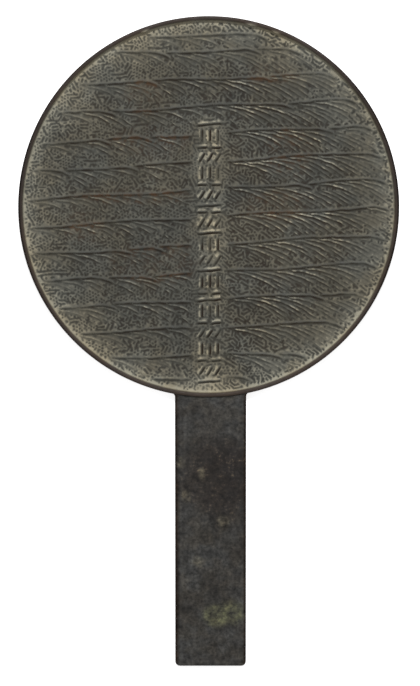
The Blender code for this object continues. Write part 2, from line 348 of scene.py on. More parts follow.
# Pale dirt and painted light in the rim's corner, from and to a radius, and more of it at the top and
# bottom:
# a painted highlight on the lit inner slope at the bottom and painted light over the slope's shade at the
# top
RIM_DIRT_AND_LIGHT_RUN = (57.6 * MM, FIELD_RADIUS + 0.1 * MM)
RIM_DIRT_AND_LIGHT_AT_SIDES = 0.25
RIM_PAINTED_LIGHT_MORE = 0.42
# At the top the rim's colour starts further out, so the field's pale tone covers the inner slope: painted
# light over its shade
TOP_PAINTED_LIGHT_REACH = 0.12 * MM
TOP_PAINTED_LIGHT_RISE = (0.3, 0.9)

# A thin veil of dirt that grows in two steps towards the rim, stronger at the top, bottom and left
VEIL_DIRT = 0.3
VEIL_RUN = (42.0 * MM, 56.0 * MM)
VEIL_OUTER_RUN = (53.0 * MM, 58.5 * MM)
VEIL_OUTER_SHARE = 0.8
VEIL_MEAN = 1.05
VEIL_MORE = 0.15
VEIL_LESS_AT_RIGHT = 0.1

# Painted shade along the handle's edges and the rim's left and right edge, as the run in from the edge where
# it ends and where it is full
HANDLE_SHADE_DEPTH = 0.2 * MM
HANDLE_SHADE_RUN = (0.3 * MM, 1.2 * MM)
RIM_SHADE_RUN = (1.05 * MM, 0.4 * MM)
RUST_OFF_CREASES = 0.3

# Stained patches by the attribute that marks them, as x, y, half width and half height
STAINS = {
    "rust": millimetres([
        (-20.5, 35.0, 8.0, 8.0),
        (-18.0, 21.0, 17.0, 7.0),
        (-24.0, 3.5, 23.0, 3.4),
        (-40.0, -6.7, 8.0, 7.0),
        (-16.0, -18.0, 20.0, 8.5),
        (19.0, 42.0, 12.0, 4.5),
        (25.5, 17.0, 9.0, 11.0),
        (21.0, 0.5, 14.0, 6.0),
    ]),
    "dark": millimetres([(5.0, -86.0, 19.0, 17.0)]),
    "verdigris": millimetres([(2.6, -129.9, 5.6, 4.6), (7.0, -129.0, 5.4, 5.0)]),
    "spots": millimetres([
        (-3.5, -112.5, 2.2, 2.2),
        (-7.3, -92.0, 1.8, 2.8),
        (-2.2, -85.0, 1.3, 2.8),
        (4.5, -99.8, 2.4, 2.4),
        (-9.2, -81.3, 1.6, 2.5),
    ]),
}
STAIN_CORE = 0.5


def smoothstep(low, high, value):
    share = np.clip((value - low) / (high - low), 0.0, 1.0)
    return share * share * (3 - 2 * share)


def radius_of(places):
    """How far each place lies from the disc's centre."""
    return np.hypot(places[:, 0], places[:, 1])


def swell(places, length, seed):
    """Gentle seeded unevenness between about -1 and 1 at places in the plane."""
    shift = Vector((seed * 7.3, seed * 3.1, seed))
    return np.array([noise.noise(Vector((x / length, y / length, 0.0)) + shift) for x, y in places])


def row_heights():
    """Heights of the wave rows above the disc's centre, the outermost ones drawn in from the rim."""
    reach = FIELD_RADIUS - ROW_EDGE_MARGIN
    spare = 1 - ROW_LEAST_SPACING
    above = math.floor((reach - FIRST_ROW_HEIGHT) / ROW_PITCH + spare)
    below = math.floor((reach + FIRST_ROW_HEIGHT) / ROW_PITCH + spare)
    heights = [FIRST_ROW_HEIGHT + step * ROW_PITCH for step in range(above, -below - 1, -1)]
    return [max(-reach, min(reach, height)) for height in heights]


def row_line(height, x):
    """The height of a row's crest at x: it climbs to the right and wavers a little."""
    tilt = ROW_TILT * (1 - abs(height / FIELD_RADIUS) ** 3)
    turn = math.tau * (x / ROW_WAVER_LENGTH + height / ROW_PITCH / 3)
    return height + math.tan(tilt) * x + ROW_WAVER * math.sin(turn)


def row_spans(height):
    """The stretches of a row in x, which leave the column of strokes free."""
    half = math.sqrt(RELIEF_RADIUS**2 - height**2)
    if height > COLUMN_TOP + STROKE_OFFSET:
        return [(-half, half)]
    gap = COLUMN_CLEARANCE + ROW_HALF_WIDTH
    return [(-half, COLUMN_LEFT - gap), (COLUMN_RIGHT + gap, half)]


def inside_field(points):
    return all(math.hypot(x, y) < RELIEF_RADIUS for x, y in points)


def clear_of_column(points):
    left = COLUMN_LEFT - COLUMN_CLEARANCE
    right = COLUMN_RIGHT + COLUMN_CLEARANCE
    top = COLUMN_TOP + COLUMN_CLEARANCE
    return not any(left < x < right and y < top for x, y in points)


def sampled(points, spacing):
    """Closely spaced places along a line, both ends included."""
    found = [points[0]]
    for (x0, y0), (x1, y1) in zip(points, points[1:]):
        count = max(1, math.ceil(math.hypot(x1 - x0, y1 - y0) / spacing))
        for step in range(1, count + 1):
            found.append((x0 + (x1 - x0) * step / count, y0 + (y1 - y0) * step / count))
    return np.array(found)


def keeps_clear(points, half_width, placed):
    """Whether a ridge stays clear of the ridges placed before it, given as points and half widths."""
    line = sampled(points, RIDGE_SAMPLE_STEP)
    for other, other_half_width in placed:
        apart = np.linalg.norm(line[:, None] - other[None], axis=2).min()
        if apart < half_width + other_half_width + RIDGE_CLEARANCE:
            return False
    return True


def wave_limits(height, start, end, drop):
    """A wave's start and end, drawn in until both lie inside the relief."""
    while not inside_field([(end, row_line(height, end) - drop)]):
        end -= RELIEF_EDGE_MARGIN / 4
    while not inside_field([(start, row_line(height, start))]):
        start += RELIEF_EDGE_MARGIN / 4
    return start, end


def wave_places(start, end):
    """Places in x along a wave, closer together where its tail falls."""
    tail = end - min(WAVE_TAIL_RUN, (end - start) / 2)
    count = math.ceil((tail - start) / ROW_POINT_GAP)
    body = [start + (tail - start) * step / count for step in range(count)]
    return body + [tail + (end - tail) * step / WAVE_TAIL_POINTS for step in range(WAVE_TAIL_POINTS + 1)]


def wave_points(wave, places):
    """A wave's points at places in x. Its last stretch falls by drop."""
    height, start, end, drop = wave
    points = []
    for x in places:
        fall = max(0.0, 1 - (end - x) / WAVE_TAIL_RUN)
        points.append((x, row_line(height, x) - drop * fall**2))
    return points


def waves(height, breaks):
    """A row's crest as waves, each of which starts a little before the last one ends."""
    found = []
    for start, end in row_spans(height):
        cuts = [x for x in breaks if start + WAVE_LEAST_RUN < x < end - WAVE_LEAST_RUN]
        starts = [start] + [x - WAVE_LAP for x in cuts]
        for wave_start, wave_end in zip(starts, cuts + [end]):
            at_column = wave_end < COLUMN_LEFT and wave_end == end
            drop = 0.0 if at_column else WAVE_TAIL_DROP
            found.append((height, *wave_limits(height, wave_start, wave_end, drop), drop))
    return found


def barb_points(barb, count, lead):
    """A barb's points: it leaves the crest almost along it and sweeps down to the right."""
    height, start, run, drop = barb
    points = []
    for index in range(count):
        x = start - lead + (run + lead) * index / (count - 1)
        share = max(0.0, (x - start) / run)
        offset = BARB_OFFSET * (1 - max(0.0, (start - x) / max(lead, MM)))
        points.append((x, row_line(height, x) - offset - drop * share**BARB_CURVE))
    return points


def barbs(height, draw):
    """The barbs that a row could carry, longer and closer on the right half of the field."""
    found = []
    for start, end in row_spans(height):
        x = start + LEFT_BARB_SPACING / 2
        while x < end - BARB_LEAST_RUN:
            right_half = x > COLUMN_CENTRE
            spacing = RIGHT_BARB_SPACING if right_half else LEFT_BARB_SPACING
            run = RIGHT_BARB_RUN if right_half else LEFT_BARB_RUN
            drop = RIGHT_BARB_DROP if right_half else LEFT_BARB_DROP
            size = 1 + draw.uniform(-BARB_SCATTER, BARB_SCATTER)
            length = min(run * size, end - x)
            found.append((height, x, length, drop * length / run))
            x += spacing * (1 + draw.uniform(-BARB_SCATTER, BARB_SCATTER))
    return found


def tilted(x, y, half_length, angle):
    """A straight stroke through a point."""
    along = Vector((math.cos(angle), math.sin(angle))) * half_length
    middle = Vector((x, y))
    return [tuple(middle - along), tuple(middle + along)]


def stroke_row(kind, middle, height):
    """One row of strokes: a long bar, two short bars, upright posts or slanting strokes."""
    half = (COLUMN_WIDTH - STROKE_OFFSET) / 2
    upright = (height - STROKE_OFFSET) / 2
    if kind == "bar":
        return [tilted(COLUMN_CENTRE, middle, half, STROKE_TILT)]
    if kind == "two_bars":
        side = (half + STROKE_OFFSET / 2) / 2
        places = [COLUMN_CENTRE - side, COLUMN_CENTRE + side]
        return [tilted(x, middle, side - STROKE_OFFSET / 2, STROKE_TILT) for x in places]
    places = [COLUMN_CENTRE + half * share for share in STROKE_PLACES]
    lean = STROKE_LEAN if kind == "slants" else 0.0
    return [tilted(x, middle, upright, math.pi / 2 - lean) for x in places]


def column_strokes():
    """Groups of plain strokes that stand in a column, none touching another and none a letter."""
    group_height = (COLUMN_TOP - COLUMN_BOTTOM) / COLUMN_GROUPS
    unit = group_height / sum(share for kind, share in STROKE_ROWS)
    top = COLUMN_TOP
    found = []
    for group in range(COLUMN_GROUPS):
        turn = group % len(STROKE_ROWS)
        for kind, share in STROKE_ROWS[turn:] + STROKE_ROWS[:turn]:
            found += stroke_row(kind, top - share * unit / 2, share * unit)
            top -= share * unit
    return [points for points in found if inside_field(points)]


def fine_barbs(row, draw):
    """Finer barbs along and between a row's barbs, which reach further down."""
    found = []
    for (height, x, run, drop), (_, following, _, _) in zip(row, row[1:]):
        reach = FINE_BARB_REACH * draw.uniform(*FINE_BARB_SIZES)
        far_drop = drop * reach**BARB_CURVE
        found.append((height, x, run * reach, far_drop))
        for share in FINE_BARB_STEPS:
            if x > COLUMN_CENTRE or draw.random() < LEFT_FINE_SHARE:
                start = x + (following - x) * share
                found.append((height, start, run * reach, far_drop))
    return found


def relief_plan():
    """The strokes, waves and barbs of the CAD's relief, and the finer barbs that could lie between."""
    strokes = column_strokes()
    heights = row_heights()
    crests = []
    for index, height in enumerate(heights):
        crests += waves(height, ROW_BREAKS[index % len(ROW_BREAKS)])
    placed = [(sampled(points, RIDGE_SAMPLE_STEP), STROKE_HALF_WIDTH) for points in strokes]
    for wave in crests:
        points = wave_points(wave, wave_places(wave[1], wave[2]))
        points = [point for point in points if inside_field([point])]
        placed.append((sampled(points, RIDGE_SAMPLE_STEP), ROW_HALF_WIDTH))
    main = []
    fine = []
    for index, height in enumerate(heights):
        row = barbs(height, random.Random(RELIEF_SEED + index))
        for barb in row:
            points = barb_points(barb, BARB_POINTS, 0.0)
            fits = inside_field(points) and clear_of_column(points)
            if fits and keeps_clear(points, BARB_HALF_WIDTH, placed):
                main.append(barb)
                placed.append((sampled(points, RIDGE_SAMPLE_STEP), BARB_HALF_WIDTH))
        fine += fine_barbs(row, random.Random(RELIEF_SEED - index))
    return strokes, crests, main, fine


def clear_stretch(line, places):
    """The longest stretch of a line that keeps clear of places."""
    low = line.min(axis=0) - FINE_BARB_CLEARANCE
    high = line.max(axis=0) + FINE_BARB_CLEARANCE
    near = places[((places > low) & (places < high)).all(axis=1)]
    apart = np.full(len(line), np.inf)
    if len(near):
        apart = np.linalg.norm(line[:, None] - near[None], axis=2).min(axis=1)
    best = []
    current = []
    for place, gap in zip(line.tolist(), apart.tolist()):
        clear = gap > FINE_BARB_CLEARANCE and inside_field([place])
        current = current + [place] if clear else []
        if len(current) > len(best):
            best = current
    return best


def fitted_fine_barbs(candidates, lines):
    """Stretches of the finer barbs that keep clear of the main ridges and of each other."""
    places = np.concatenate(lines)
    found = []
    for barb in candidates:
        line = sampled(barb_points(barb, 4 * BARB_POINTS, 0.0), RIDGE_STEP)
        stretch = clear_stretch(line, places)
        if len(stretch) * RIDGE_STEP > FINE_BARB_LEAST_RUN and clear_of_column(stretch):
            found.append(np.array(stretch))
            places = np.concatenate([places, found[-1]])
    return found


def ridge_places(line, height, section, taper, strength=1.0, fade=0.0, stained=0.0):
    """Points across and along one ridge: x, y, height, how much each matters, its tone and its crease."""
    along = np.gradient(line, axis=0)
    along /= np.linalg.norm(along, axis=1)[:, None]
    across = np.stack([-along[:, 1], along[:, 0]], axis=1)
    steps = np.linalg.norm(np.diff(line, axis=0), axis=1)
    travelled = np.concatenate([[0.0], np.cumsum(steps)])
    to_end = np.minimum(travelled, travelled[-1] - travelled)
    size = TIP_SHARE + (1 - TIP_SHARE) * smoothstep(0.0, min(taper, travelled[-1] / 2), to_end)
    found = []
    patchy = RIDGE_PATCH_MEAN + RIDGE_PATCH_SHARE * swell(line, RIDGE_PATCH_LENGTH, 5)
    beads = 1.0 + BEAD_SHARE * swell(line, BEAD_LENGTH, 11)
    waver = RIDGE_WAVER * swell(line, RIDGE_WAVER_LENGTH, 7)
    strength *= 1 - fade * smoothstep(FADE_START, FADE_END, radius_of(line))
    # Each section point's tone paints the ridge: a painted highlight on its upper side and painted shade on
    # its lower side, over the real patina
    for offset, share, shade_share in section:
        places = line + across * (offset * MM * size)[:, None]
        places[:, 1] += waver
        amount = np.clip(patchy, PALE_LEAST if shade_share > 0 else DARK_LEAST, 1.0) * size * strength
        if shade_share > 0:
            amount *= np.clip(beads, BEAD_LEAST, BEAD_MOST)
        rise = height * share * size * strength
        crease = np.full(len(line), stained if shade_share < 0 else 0.0)
        found.append(np.column_stack([places, rise, share * size, shade_share * amount, crease]))
    return np.concatenate(found)


def thinned(rows, gaps):
    """Keeps each row of points that is at least its gap away from every one kept before it."""
    cell = max(gaps)
    cells = {}
    kept = []
    for index, (x, y) in enumerate(rows[:, :2].tolist()):
        column = math.floor(x / cell)
        line = math.floor(y / cell)
        near = []
        for i in (column - 1, column, column + 1):
            for j in (line - 1, line, line + 1):
                near += cells.get((i, j), ())
        limit = gaps[index] ** 2
        if all((x - a) ** 2 + (y - b) ** 2 >= limit for a, b in near):
            cells.setdefault((column, line), []).append((x, y))
            kept.append(index)
    return rows[kept]


def column_share(places):
    """How far each place lies inside the column of strokes and the ground close to it."""
    across = 1 - smoothstep(*COLUMN_DIRT_SIDE, np.abs(places[:, 0] - COLUMN_CENTRE))
    return across * (1 - smoothstep(*COLUMN_DIRT_TOP, places[:, 1]))


def lattice(turn, seed, hatched):
    """A jittered hexagonal lattice over the field, with the relief and tone of its grains."""
    draw = np.random.default_rng(seed)
    reach = int(FIELD_RADIUS / GROUND_SPACING * 1.2)
    column, line = np.meshgrid(np.arange(-reach, reach + 1), np.arange(-reach, reach + 1))
    x = (column + line / 2) * GROUND_SPACING
    y = line * GROUND_SPACING * math.sqrt(3) / 2
    near = np.hypot(x, y) < FIELD_RADIUS + GROUND_WARP
    x, y, column, line = x[near], y[near], column[near], line[near]
    places = np.stack(
        [x * math.cos(turn) - y * math.sin(turn), x * math.sin(turn) + y * math.cos(turn)], axis=1
    )
    warp = np.stack([swell(places, GROUND_WARP_LENGTH, seed + step) for step in (3, 5)], axis=1)
    places += GROUND_WARP * warp + draw.uniform(-GROUND_JITTER, GROUND_JITTER, places.shape)
    inside = radius_of(places) < FIELD_RADIUS - GROUND_POINT_GAP
    places, column, line = places[inside], column[inside], line[inside]
    first = swell(places, GROUND_PATCH_LENGTH, seed)
    second = swell(places, GROUND_PATCH_LENGTH, seed + 9)
    level = HATCHED_PATCH_LEVEL if hatched else PITTED_PATCH_LEVEL
    raised = (column - line) % 3 != 0
    raised = np.where(first > level, (column + line) % 2 == 0, raised)
    raised = np.where(first < -level, column % 2 == 0, raised)
    raised = np.where(second > (HATCH_LEVEL if hatched else level), line % 2 == 0, raised)
    size = 1 - GRAIN_SCATTER * draw.random(len(places))
    size *= (HATCHED_STRENGTH if hatched else 1) * (1 - (1 - COLUMN_GRAIN) * column_share(places))
    height = np.where(raised, GRAIN_RELIEF * size, 0.0)
    shades = np.where(raised, GRAIN_PALE * size, GRAIN_DARK * size)
    rest = np.zeros(len(places))
    return np.column_stack([places, height, rest, shades, rest])


def ground():
    """The granulated ground: a lattice level with the rows on the left, one along the hatch on the right."""
    left = lattice(GROUND_TURN, RELIEF_SEED, False)
    right = lattice(HATCH_TURN, RELIEF_SEED + 1, True)
    return np.concatenate([left[left[:, 0] < COLUMN_CENTRE], right[right[:, 0] >= COLUMN_CENTRE]])


def field_rows():
    """Every point of the field inside its edge: x, y, height, how much it matters, tone and crease."""
    strokes, crests, main, fine = relief_plan()
    stroke_lines = [sampled(points, RIDGE_STEP) for points in strokes]
    crest_lines = []
    for wave in crests:
        places = sampled([(wave[1], 0.0), (wave[2], 0.0)], RIDGE_STEP)[:, 0]
        points = [point for point in wave_points(wave, places) if inside_field([point])]
        crest_lines.append(np.array(points))
    barb_lines = [sampled(barb_points(barb, 6 * BARB_POINTS, BARB_LEAD), RIDGE_STEP) for barb in main]
    fine_lines = fitted_fine_barbs(fine, stroke_lines + crest_lines + barb_lines)
    ridges = []
    for line in stroke_lines:
        ridges.append(ridge_places(line, STROKE_RELIEF, STROKE_SECTION, STROKE_TAPER))
    for line in crest_lines:
        ridges.append(ridge_places(line, ROW_RELIEF, ROW_SECTION, ROW_TAPER, 1.0, ROW_FADE, 1.0))
    draw = random.Random(RELIEF_SEED)
    for line in barb_lines:
        limits = RIGHT_BARB_STRENGTH if line[0, 0] > COLUMN_CENTRE else LEFT_BARB_STRENGTH
        strength = draw.uniform(*limits)
        ridges.append(ridge_places(line, BARB_RELIEF, BARB_SECTION, RIDGE_TAPER, strength, BARB_FADE, 0.7))
    for line in fine_lines:
        ridges.append(ridge_places(line, FINE_RELIEF, FINE_SECTION, RIDGE_TAPER, 1.0, BARB_FADE))
    ridge = np.concatenate(ridges)
    ridge = ridge[np.argsort(-ridge[:, 3], kind="stable")]
    ridge = ridge[radius_of(ridge) < FIELD_RADIUS - GROUND_POINT_GAP]
    base = ground()
    rows = np.concatenate([ridge, base])
    gaps = np.concatenate([np.full(len(ridge), RIDGE_POINT_GAP), np.full(len(base), GROUND_POINT_GAP)])
    return thinned(rows, gaps)


def ring(radius):
    """Points round the disc's centre, at one radius or at a radius for each point."""
    return np.stack([radius * np.cos(RING_ANGLES), radius * np.sin(RING_ANGLES)], axis=1)


def triangles(places, outline_count=0):
    """Triangles over places in the plane. The first outline_count of them are the closed outline."""
    points = [Vector(place) / MM for place in places.tolist()]
    edges = [(index, (index + 1) % outline_count) for index in range(outline_count)]
    made = geometry.delaunay_2d_cdt(points, edges, [], 1 if outline_count else 0, 1e-6)
    if len(made[0]) != len(points):
        raise ValueError("the outline crosses itself")
    return [tuple(face) for face in made[2]]


def field_surface():
    """The field as points, triangles, and each point's tone and crease."""
    edge = ring(FIELD_RADIUS)
    rows = np.concatenate([np.column_stack([edge, np.zeros((RING_POINTS, 4))]), field_rows()])
    places = rows[:, :2]
    radius = radius_of(places)
    wear = 1 - (1 - WORN_SHARE) * smoothstep(WEAR_START, WEAR_END, radius)
    level = smoothstep(0.0, GROUND_LEVEL_RUN, FIELD_RADIUS - radius)
    uneven = GROUND_SWELL * swell(places, GROUND_SWELL_LENGTH, 1) * level
    height = FIELD_THICKNESS + rows[:, 2] * wear + uneven
    points = np.column_stack([places, height])
    shades = rows[:, 4] * (WORN_TONE + (1 - WORN_TONE) * wear)
    return points, triangles(places), shades, rows[:, 5]


def add_object(name, data):
    """A new object in the scene that shows data."""
    obj = bpy.data.objects.new(name, data)
    bpy.context.scene.collection.objects.link(obj)
    return obj


def slotted_mesh(name, points, faces, slots):
    """An object made of points and faces, each face in its part's material slot."""
    mesh = bpy.data.meshes.new(name)
    mesh.from_pydata(points, [], faces)
    for index in range(CAP + 1):
        mesh.materials.append(bpy.data.materials.new(name + "_" + str(index)))
    mesh.polygons.foreach_set("material_index", np.array(slots, dtype=np.int32))
    mesh.update()
    return add_object(name, mesh)


def ring_faces(low, high, count):
    """Quads between two closed rings of count points that start at index low and high."""
    faces = []
    for index in range(count):
        following = (index + 1) % count
        faces.append((low + index, low + following, high + following, high + index))
    return faces


def rim_inner_radius(radius, share):
    """The radius of the rim's inner edge, uneven as cast and pushed in where metal lumps sit on it."""
    result = radius + RIM_WOBBLE * swell(ring(DISC_RADIUS), RIM_WOBBLE_LENGTH, 2) * share
    for direction, reach, half_length in RIM_LUMPS:
        away = (RING_ANGLES - math.radians(direction) + math.pi) % math.tau - math.pi
        result -= reach * share * np.exp(-((away * DISC_RADIUS / half_length) ** 2))
    return result


def disc_body():
    """The rim, wall and polished face as a closed mesh, its field a plain cap in a slot of its own."""
    rise = RIM_THICKNESS - FIELD_THICKNESS
    sections = []
    for share in RIM_SLOPE_SHARES:
        sections.append((FIELD_RADIUS + RIM_INNER_RUN * share, FIELD_THICKNESS + rise * share, share))
    for run, drop in RIM_SECTION:
        sections.append((DISC_RADIUS - run, RIM_THICKNESS - drop, 1.0 if run >= RIM_UNEVEN_RUN else 0.0))
    for run, level in FACE_EDGE_SECTION:
        sections.append((DISC_RADIUS - run, level, 0.0))
    points = []
    for radius, level, share in sections:
        around = ring(rim_inner_radius(radius, share))
        points += [(x, y, level) for x, y in around.tolist()]
    faces = [tuple(range(RING_POINTS))]
    for index in range(len(sections) - 1):
        low = index * RING_POINTS
        faces += [tuple(reversed(face)) for face in ring_faces(low, low + RING_POINTS, RING_POINTS)]
    faces.append(tuple(reversed(range(len(points) - RING_POINTS, len(points)))))
    return slotted_mesh("disc_body", points, faces, [CAP] + [PATINA] * (len(faces) - 2) + [POLISHED])


def arc(centre, radius, start, end, steps):
    """Points along an arc, both ends included."""
    angles = [start + (end - start) * i / steps for i in range(steps + 1)]
    return [(centre[0] + radius * math.cos(a), centre[1] + radius * math.sin(a)) for a in angles]


def handle_side(side, inset):
    """One side of the handle's outline, from its root in the rim down to the end. side is 1 or -1."""
    fillet_x = HANDLE_OFFSET + side * (HANDLE_WIDTH / 2 + HANDLE_FILLET_RADIUS)
    reach = DISC_RADIUS - HANDLE_FILLET_SINK + HANDLE_FILLET_RADIUS
    fillet_y = -math.sqrt(reach**2 - fillet_x**2)
    towards_disc = math.atan2(-fillet_y, -fillet_x)
    towards_handle = math.pi if side > 0 else 0.0
    root_radius = DISC_RADIUS - RIM_WIDTH
    direction = math.atan2(fillet_y, fillet_x)
    points = [(root_radius * math.cos(direction), root_radius * math.sin(direction))]
    fillet = (fillet_x, fillet_y)
    points += arc(fillet, HANDLE_FILLET_RADIUS + inset, towards_disc, towards_handle, ARC_STEPS)
    corner_x = HANDLE_OFFSET + side * (HANDLE_END_WIDTH / 2 - HANDLE_CORNER_RADIUS)
    corner = (corner_x, HANDLE_END + HANDLE_CORNER_RADIUS)
    outward = 0.0 if side > 0 else -math.pi
    points += arc(corner, HANDLE_CORNER_RADIUS - inset, outward, -math.pi / 2, ARC_STEPS)
    return points


def handle_outline(inset):
    """The closed outline of the handle, drawn in by inset, with points all along its long edges."""
    outlines = []
    for drawn_in in (0.0, inset):
        right = handle_side(1, drawn_in)
        left = handle_side(-1, drawn_in)
        start = math.atan2(left[0][1], left[0][0])
        end = math.atan2(right[0][1], right[0][0])
        root = arc((0.0, 0.0), DISC_RADIUS - RIM_WIDTH, start, end, 3 * ARC_STEPS)
        outlines.append(root[:-1] + right + left[:0:-1])
    plain, wanted = outlines
    points = []
    for index in range(len(plain)):
        following = (index + 1) % len(plain)
        length = math.dist(plain[index], plain[following])
        count = max(1, round(length / HANDLE_SPACING))
        x0, y0 = wanted[index]
        x1, y1 = wanted[following]
        points += [(x0 + (x1 - x0) * s / count, y0 + (y1 - y0) * s / count) for s in range(count)]
    return points


def handle_levels():
    """The handle's outlines as height and inset, from the polished face up, with rounded edges."""
    turns = [math.pi / 2 * step / ROUND_STEPS for step in range(ROUND_STEPS + 1)]
    rounds = [(HANDLE_ROUND * (1 - math.sin(t)), HANDLE_ROUND * (1 - math.cos(t))) for t in turns]
    low = [(HANDLE_RISE + level, inset) for level, inset in reversed(rounds)]
    high = [(HANDLE_THICKNESS - level, inset) for level, inset in rounds]
    return low + high


def handle_body():
    """The handle as a closed mesh, its top gently uneven."""
    levels = handle_levels()
    points = []
    for level, inset in levels:
        points += [(x, y, level) for x, y in handle_outline(inset)]
    count = len(points) // len(levels)
    faces = [tuple(reversed(range(count)))]
    for index in range(len(levels) - 1):
        faces += ring_faces(index * count, (index + 1) * count, count)
    edge = np.array(points[-count:])[:, :2]
    low = edge.min(axis=0)
    high = edge.max(axis=0)
    x, y = np.meshgrid(
        np.arange(low[0], high[0], HANDLE_SPACING), np.arange(low[1], high[1], HANDLE_SPACING)
    )
    inner = np.stack([x.ravel(), y.ravel()], axis=1)
    inner = inner[radius_of(inner) > DISC_RADIUS - RIM_WIDTH]
    rows = np.concatenate([edge, inner])
    gaps = np.concatenate([np.zeros(count), np.full(len(inner), HANDLE_POINT_GAP)])
    rows = thinned(rows, gaps)
    inner = rows[count:]
    room = np.abs(edge[None] - inner[:, None]).max(axis=2).min(axis=1)
    uneven = HANDLE_SWELL * swell(inner, HANDLE_SWELL_LENGTH, 3) * smoothstep(0.0, HANDLE_LEVEL_RUN, room)
    uneven -= HANDLE_SWELL / 2
    first = len(points) - count
    for face in triangles(rows, count):
        faces.append(tuple(first + index for index in face))
    points += [(x, y, HANDLE_THICKNESS + up) for (x, y), up in zip(inner.tolist(), uneven.tolist())]
    return slotted_mesh("handle_body", points, faces, [POLISHED] + [HANDLE] * (len(faces) - 1))


def joined_bodies():
    """The disc and the handle made one, as a bmesh without the cap over the field."""
    disc = disc_body()
    handle = handle_body()
    union = disc.modifiers.new("handle", "BOOLEAN")
    union.operation = "UNION"
    union.solver = "EXACT"
    union.object = handle
    graph = bpy.context.evaluated_depsgraph_get()
    mesh = bpy.data.meshes.new_from_object(disc.evaluated_get(graph))
    work = bmesh.new()
    work.from_mesh(mesh)
    bpy.data.meshes.remove(mesh)
    for body in (disc, handle):
        bpy.data.meshes.remove(body.data)
    cap = [face for face in work.faces if face.material_index == CAP]
    bmesh.ops.delete(work, geom=cap, context="FACES")
    wide = [face for face in work.faces if len(face.verts) > 4]
    bmesh.ops.triangulate(work, faces=wide)
    return work


def add_field(work):
    """Stitches the field into the joined bodies and records its tone and creases."""
    shade_layer = work.verts.layers.float.new("tone")
    crease_layer = work.verts.layers.float.new("crease")
    points, faces, shades, creases = field_surface()
    added = []
    for place, shade_share, crease in zip(points.tolist(), shades.tolist(), creases.tolist()):
        vertex = work.verts.new(place)
        vertex[shade_layer] = shade_share
        vertex[crease_layer] = crease
        added.append(vertex)
    for face in faces:
        made = work.faces.new([added[index] for index in face])
        made.material_index = PATINA
        made.tag = True
    bmesh.ops.remove_doubles(work, verts=work.verts, dist=WELD_DISTANCE)


def rim_share(points):
    """How far up the rim each point lies: 0 in the field and 1 on the rim's top and wall."""
    radius = radius_of(points)
    # At the top the rim's colour starts further out, leaving painted light on the shaded inner slope
    start = FIELD_RADIUS + TOP_PAINTED_LIGHT_REACH * smoothstep(*TOP_PAINTED_LIGHT_RISE, points[:, 1] / np.maximum(radius, MM))
    return smoothstep(start, start + RIM_INNER_RUN, radius)


def ellipse_share(points, patches):
    """How far inside soft patches each point lies. A patch is x, y, half width and half height."""
    result = np.zeros(len(points))
    for x, y, half_width, half_height in patches:
        away = np.hypot((points[:, 0] - x) / half_width, (points[:, 1] - y) / half_height)
        result = np.maximum(result, 1 - smoothstep(STAIN_CORE, 1.0, away))
    return result


def pale_dirt_and_light(points):
    """Pale dirt round the column of strokes, pale dirt and painted light in the rim's corner, and pale dirt
    thinly towards the rim.
    """
    x, y = points[:, 0], points[:, 1]
    radius = np.hypot(x, y)
    patchy = DIRT_PATCH_MEAN + DIRT_PATCH_SHARE * swell(points[:, :2], DIRT_PATCH_LENGTH, 4)
    along = COLUMN_DIRT_AT_FOOT + (1 - COLUMN_DIRT_AT_FOOT) * smoothstep(*COLUMN_DIRT_RISE, y)
    column = COLUMN_DIRT * column_share(points) * along * patchy
    upright = np.abs(y) / np.maximum(radius, MM)
    # In the rim's corner the pale tone is dirt and painted light: the extra at the top and bottom is a
    # painted highlight on the lit inner slope at the bottom and paints over the slope's shade at the top
    rim = smoothstep(*RIM_DIRT_AND_LIGHT_RUN, radius) * (RIM_DIRT_AND_LIGHT_AT_SIDES + RIM_PAINTED_LIGHT_MORE * upright**2)
    veil = VEIL_DIRT * smoothstep(*VEIL_RUN, radius)
    veil += VEIL_DIRT * VEIL_OUTER_SHARE * smoothstep(*VEIL_OUTER_RUN, radius)
    veil *= VEIL_MEAN + VEIL_MORE * upright**2 - VEIL_LESS_AT_RIGHT * x / np.maximum(radius, MM)
    return np.clip(np.maximum(column, rim) + veil, 0.0, 1.0)


def mark_surface(work, mesh):
    """Writes the finished surface's tone, with its painted light and shade, its stains and its painted shade
    at the edges as attributes for the materials.
    """
    layers = work.verts.layers.float
    shades = np.array([vertex[layers["tone"]] for vertex in work.verts])
    creases = np.array([vertex[layers["crease"]] for vertex in work.verts])
    points = np.array([vertex.co for vertex in work.verts])
    # Painted shade down the handle's rounded edges and along its long sides
    low, high = HANDLE_THICKNESS - HANDLE_SHADE_DEPTH, HANDLE_THICKNESS - HANDLE_SWELL
    rounded = 1 - smoothstep(low, high, points[:, 2])
    run_in = HANDLE_WIDTH / 2 - np.abs(points[:, 0] - HANDLE_OFFSET)
    handle_edge_shade = np.maximum(rounded, 1 - smoothstep(*HANDLE_SHADE_RUN, run_in))
    radius = radius_of(points)
    # Painted shade on the rim's outer edge, growing towards the left and right
    sideways = np.abs(points[:, 0]) / np.maximum(radius, MM)
    rim_side_shade = smoothstep(*(DISC_RADIUS - run for run in RIM_SHADE_RUN), radius) * sideways**2
    values = {name: ellipse_share(points, patches) for name, patches in STAINS.items()}
    values["rust"] *= RUST_OFF_CREASES + (1 - RUST_OFF_CREASES) * creases
    # The tone adds pale dirt and the rim corner's painted light to the ridges' patina and painted light and
    # shade
    values["tone"] = shades + pale_dirt_and_light(points) * (1 + np.minimum(shades, 0.0))
    values["rim"] = rim_share(points)
    values["painted_shade_border"] = np.where(radius > DISC_RADIUS, handle_edge_shade, rim_side_shade)
    for name, data in values.items():
        if name in mesh.attributes:
            mesh.attributes.remove(mesh.attributes[name])
        mesh.attributes.new(name, "FLOAT", "POINT").data.foreach_set("value", data.astype(np.float32))


